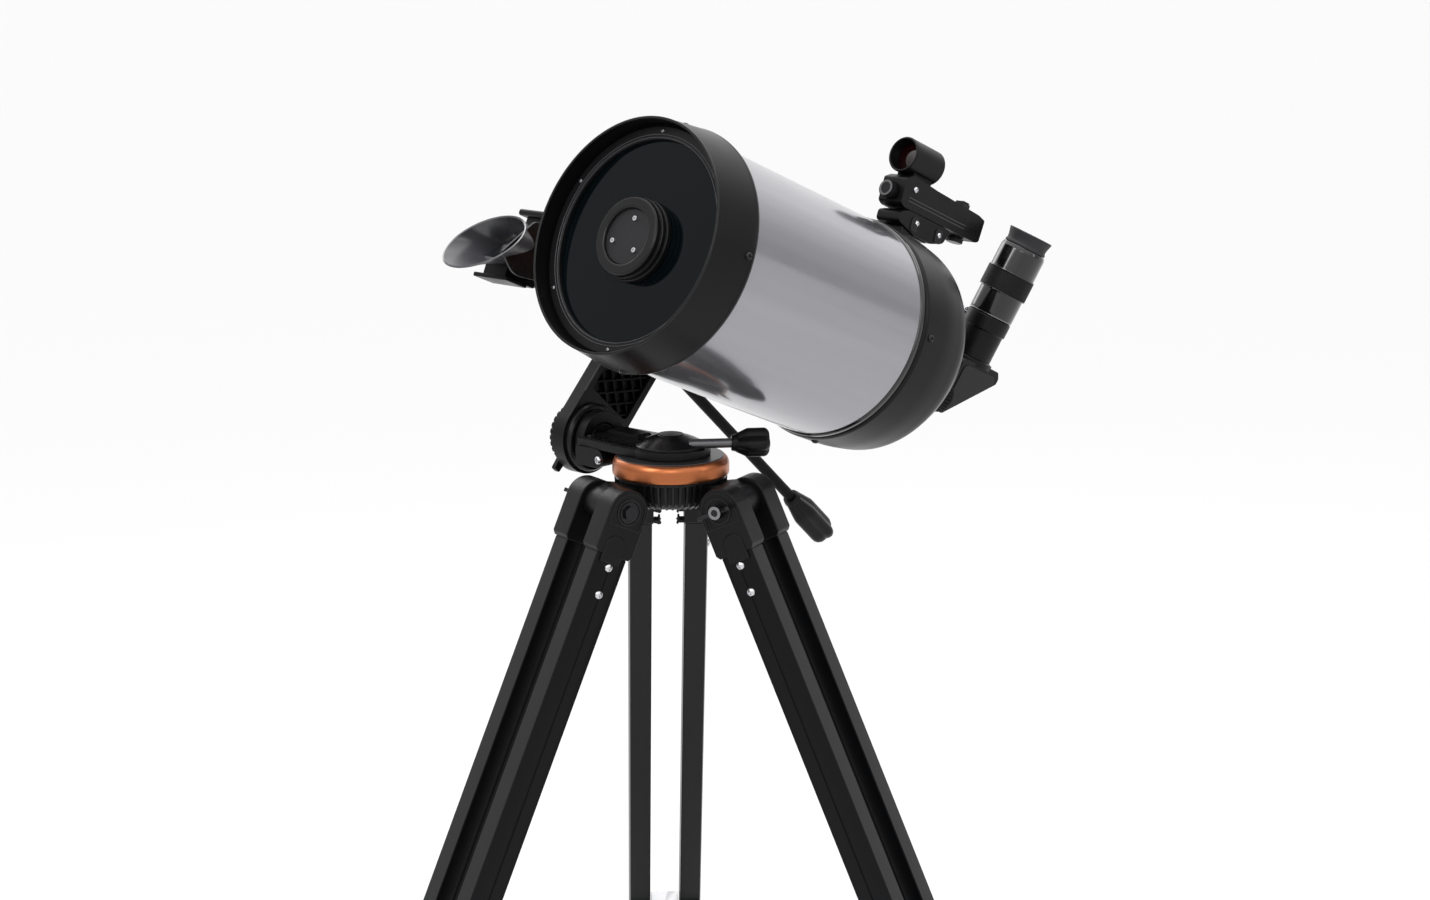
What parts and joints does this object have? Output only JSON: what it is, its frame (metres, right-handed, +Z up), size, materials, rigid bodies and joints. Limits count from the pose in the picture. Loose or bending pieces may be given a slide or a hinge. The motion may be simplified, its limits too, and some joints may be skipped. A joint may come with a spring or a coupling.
{
  "type": "schmidt cassegrain telescope",
  "caption": "Catadioptric telescope tube with finder, diagonal and eyepiece on a single-arm altazimuth mount with slow-motion controls, phone dock and folding tripod.",
  "frame": {"origin": "middle of the footprint box, on the ground", "axes": "+Z up along the azimuth axis; legs at 90, 210 and 330 degrees from +X; at rest the tube points between -X and -Y, 22.6 degrees above level"},
  "size_m": [0.7596, 0.6624, 1.0908],
  "materials": {
    "black_casting": "satin black powder coat",
    "black_plastic": "fine-textured black ABS",
    "gloss_black": "polished black barrel with knurled band",
    "silver_paint": "glossy metallic silver-grey paint",
    "copper_anodised": "satin copper-orange anodising",
    "leg_aluminium": "grey anodised extrusion",
    "steel": "plain machined steel",
    "corrector_glass": "coated optical glass",
    "mirror_coating": "aluminised first-surface mirror",
    "rubber": "matte black rubber"
  },
  "bodies": {
    "tripod_head": {"tripod_hub": "black_casting", "collar": "copper_anodised"},
    "yoke": {"azimuth_yoke": "black_casting", "azimuth_dome": "black_casting"},
    "azimuth_control": {"azimuth_control": "black_plastic"},
    "arm": {"mount_arm": "black_casting", "gear_cover": "black_plastic", "pivot_bolt": "black_casting"},
    "altitude_control": {"altitude_control": "black_plastic"},
    "arm_knob": {"arm_pivot_knob": "black_plastic"},
    "tube": {"altitude_wheel": "steel", "saddle": "black_casting", "dovetail_bar": "copper_anodised", "front_cell": "black_plastic", "corrector_ring": "black_plastic", "corrector_plate": "corrector_glass", "secondary_cell": "black_plastic", "main_tube": "silver_paint", "rear_cell": "black_plastic", "baffle_tube": "black_plastic", "visual_back": "black_casting", "finder_bracket": "black_plastic", "finder_body": "black_plastic", "finder_tube": "black_plastic", "dock_arm": "black_plastic", "dock_platform": "black_plastic", "dock_mirror": "mirror_coating", "mirror_hood": "black_plastic"},
    "mirror": {"primary_mirror": "mirror_coating"},
    "focus_knob": {"focus_knob": "rubber"},
    "saddle_knob": {"saddle_knob": "black_plastic"},
    "diagonal": {"diagonal_body": "black_plastic"},
    "eyepiece_screw": {"eyepiece_screw": "steel"},
    "eyepiece": {"eyepiece_body": "gloss_black", "eyecup": "rubber"},
    "finder_switch": {"finder_switch": "black_plastic"},
    "finder_altitude_knob": {"finder_altitude_knob": "steel"},
    "finder_azimuth_knob": {"finder_azimuth_knob": "black_plastic"},
    "phone_clamp": {"phone_clamp": "black_plastic"},
    "dock_knob": {"dock_knob": "black_plastic"},
    "leg_1": {"leg_cap_right_1": "black_plastic", "leg_cap_left_1": "black_plastic", "upper_leg_1": "leg_aluminium"},
    "lower_leg_1": {"lower_leg_1": "leg_aluminium"},
    "leg_lock_1": {"leg_lock_1": "black_plastic"},
    "brace_1": {"brace_arm_1": "steel"},
    "leg_2": {"leg_cap_right_2": "black_plastic", "leg_cap_left_2": "black_plastic", "upper_leg_2": "leg_aluminium"},
    "lower_leg_2": {"lower_leg_2": "leg_aluminium"},
    "leg_lock_2": {"leg_lock_2": "black_plastic"},
    "brace_2": {"brace_arm_2": "steel"},
    "leg_3": {"leg_cap_right_3": "black_plastic", "leg_cap_left_3": "black_plastic", "upper_leg_3": "leg_aluminium"},
    "lower_leg_3": {"lower_leg_3": "leg_aluminium"},
    "leg_lock_3": {"leg_lock_3": "black_plastic"},
    "brace_3": {"brace_arm_3": "steel"},
    "spreader": {"brace_hub": "black_plastic", "accessory_tray": "black_plastic"}
  },
  "joints": [
    {"name": "azimuth", "type": "hinge", "parent": "tripod_head", "child": "yoke", "pos_m": [0, -0.10509, 0.83054], "axis": [0, 0, 1], "continuous": true},
    {"name": "azimuth_control_turn", "type": "hinge", "parent": "yoke", "child": "azimuth_control", "pos_m": [0.00093, -0.12026, 0.84413], "axis": [0.9981, 0.061, 0], "continuous": true},
    {"name": "arm_pivot", "type": "hinge", "parent": "yoke", "child": "arm", "pos_m": [0, -0.10509, 0.83413], "axis": [0.6782, -0.7349, 0], "range_deg": [0, 42]},
    {"name": "arm_knob_turn", "type": "hinge", "parent": "arm", "child": "arm_knob", "pos_m": [0, -0.10509, 0.83413], "axis": [0.6782, -0.7349, 0], "range_deg": [-90, 90]},
    {"name": "altitude", "type": "hinge", "parent": "arm", "child": "tube", "pos_m": [0.06987, -0.04061, 0.93826], "axis": [-0.6782, 0.7349, 0], "range_deg": [-18, 35]},
    {"name": "altitude_control_turn", "type": "hinge", "parent": "arm", "child": "altitude_control", "pos_m": [-0.01876, 0.0089, 0.9037], "axis": [0.5427, 0.5008, -0.6743], "range_deg": [-1080, 2100]},
    {"name": "saddle_knob_turn", "type": "hinge", "parent": "tube", "child": "saddle_knob", "pos_m": [0.01969, 0.01377, 0.93826], "axis": [0.2824, 0.2606, 0.9232], "range_deg": [0, 720]},
    {"name": "focus_knob_turn", "type": "hinge", "parent": "tube", "child": "focus_knob", "pos_m": [0.01246, -0.18871, 0.97163], "axis": [0.6785, 0.6261, -0.3843], "range_deg": [-2160, 2160]},
    {"name": "mirror_focus", "type": "slide", "parent": "tube", "child": "mirror", "axis": [0.6785, 0.6261, -0.3843], "range_m": [-0.0046, 0.0046]},
    {"name": "diagonal_turn", "type": "hinge", "parent": "tube", "child": "diagonal", "pos_m": [0.2422, 0.07772, 0.85214], "axis": [0.6785, 0.6261, -0.3843], "continuous": true},
    {"name": "eyepiece_screw_turn", "type": "hinge", "parent": "diagonal", "child": "eyepiece_screw", "pos_m": [0.26668, 0.08067, 0.90018], "axis": [0.578, -0.7778, -0.2467], "range_deg": [0, 1080]},
    {"name": "eyepiece_pull", "type": "slide", "parent": "diagonal", "child": "eyepiece", "axis": [0.4534, 0.0547, 0.8896], "range_m": [0, 0.032]},
    {"name": "finder_switch_slide", "type": "slide", "parent": "tube", "child": "finder_switch", "axis": [0.6785, 0.6261, -0.3843], "range_m": [-0.0045, 0.0045]},
    {"name": "finder_altitude_knob_turn", "type": "hinge", "parent": "tube", "child": "finder_altitude_knob", "pos_m": [0.02558, -0.12217, 1.10319], "axis": [0.6785, 0.6261, -0.3843], "range_deg": [-360, 360]},
    {"name": "finder_azimuth_knob_turn", "type": "hinge", "parent": "tube", "child": "finder_azimuth_knob", "pos_m": [0.20787, 0.04604, 0.87158], "axis": [0.2824, 0.2606, 0.9232], "range_deg": [-360, 360]},
    {"name": "phone_clamp_slide", "type": "slide", "parent": "tube", "child": "phone_clamp", "axis": [0.6785, 0.6261, -0.3843], "range_m": [-0.0035, 0.0235]},
    {"name": "dock_knob_turn", "type": "hinge", "parent": "tube", "child": "dock_knob", "pos_m": [-0.07154, 0.033, 0.96074], "axis": [0.2824, 0.2606, 0.9232], "range_deg": [-360, 360]},
    {"name": "leg_fold_1", "type": "hinge", "parent": "tripod_head", "child": "leg_1", "pos_m": [0, -0.04869, 0.80204], "axis": [-1, 0, 0], "range_deg": [0, 12]},
    {"name": "brace_fold_1", "type": "hinge", "parent": "leg_1", "child": "brace_1", "pos_m": [0, 0.11532, 0.36589], "axis": [-1, 0, 0], "range_deg": [-37.54, 0]},
    {"name": "leg_extend_1", "type": "slide", "parent": "leg_1", "child": "lower_leg_1", "axis": [0, 0.4115, -0.9114], "range_m": [-0.2, 0.09]},
    {"name": "leg_lock_turn_1", "type": "hinge", "parent": "leg_1", "child": "leg_lock_1", "pos_m": [0, 0.19575, 0.26066], "axis": [0, 0.9114, 0.4115], "range_deg": [0, 540]},
    {"name": "leg_fold_2", "type": "hinge", "parent": "tripod_head", "child": "leg_2", "pos_m": [-0.04884, -0.13329, 0.80204], "axis": [0.5, -0.866, 0], "range_deg": [0, 12]},
    {"name": "brace_fold_2", "type": "hinge", "parent": "leg_2", "child": "brace_2", "pos_m": [-0.19088, -0.2153, 0.36589], "axis": [0.5, -0.866, 0], "range_deg": [-37.54, 0]},
    {"name": "leg_extend_2", "type": "slide", "parent": "leg_2", "child": "lower_leg_2", "axis": [-0.3564, -0.2058, -0.9114], "range_m": [-0.2, 0.09]},
    {"name": "leg_lock_turn_2", "type": "hinge", "parent": "leg_2", "child": "leg_lock_2", "pos_m": [-0.26054, -0.25551, 0.26066], "axis": [-0.7893, -0.4557, 0.4115], "range_deg": [0, 540]},
    {"name": "leg_fold_3", "type": "hinge", "parent": "tripod_head", "child": "leg_3", "pos_m": [0.04884, -0.13329, 0.80204], "axis": [0.5, 0.866, 0], "range_deg": [0, 12]},
    {"name": "brace_fold_3", "type": "hinge", "parent": "leg_3", "child": "brace_3", "pos_m": [0.19088, -0.2153, 0.36589], "axis": [0.5, 0.866, 0], "range_deg": [-37.54, 0]},
    {"name": "leg_extend_3", "type": "slide", "parent": "leg_3", "child": "lower_leg_3", "axis": [0.3564, -0.2058, -0.9114], "range_m": [-0.2, 0.09]},
    {"name": "leg_lock_turn_3", "type": "hinge", "parent": "leg_3", "child": "leg_lock_3", "pos_m": [0.26054, -0.25551, 0.26066], "axis": [0.7893, -0.4557, 0.4115], "range_deg": [0, 540]},
    {"name": "spreader_drop", "type": "slide", "parent": "tripod_head", "child": "spreader", "axis": [0, 0, -1], "range_m": [0, 0.0912]}
  ],
  "couplings": [
    {"joint": "brace_fold_1", "follows": "leg_fold_1", "ratio": -3.1116},
    {"joint": "leg_fold_2", "follows": "leg_fold_1", "ratio": 1},
    {"joint": "brace_fold_2", "follows": "leg_fold_1", "ratio": -3.1116},
    {"joint": "leg_fold_3", "follows": "leg_fold_1", "ratio": 1},
    {"joint": "brace_fold_3", "follows": "leg_fold_1", "ratio": -3.1116},
    {"joint": "spreader_drop", "follows": "leg_fold_1", "m_per_rad": 0.43368},
    {"joint": "azimuth_control_turn", "follows": "azimuth", "ratio": 36},
    {"joint": "altitude_control_turn", "follows": "altitude", "ratio": 60}
  ]
}
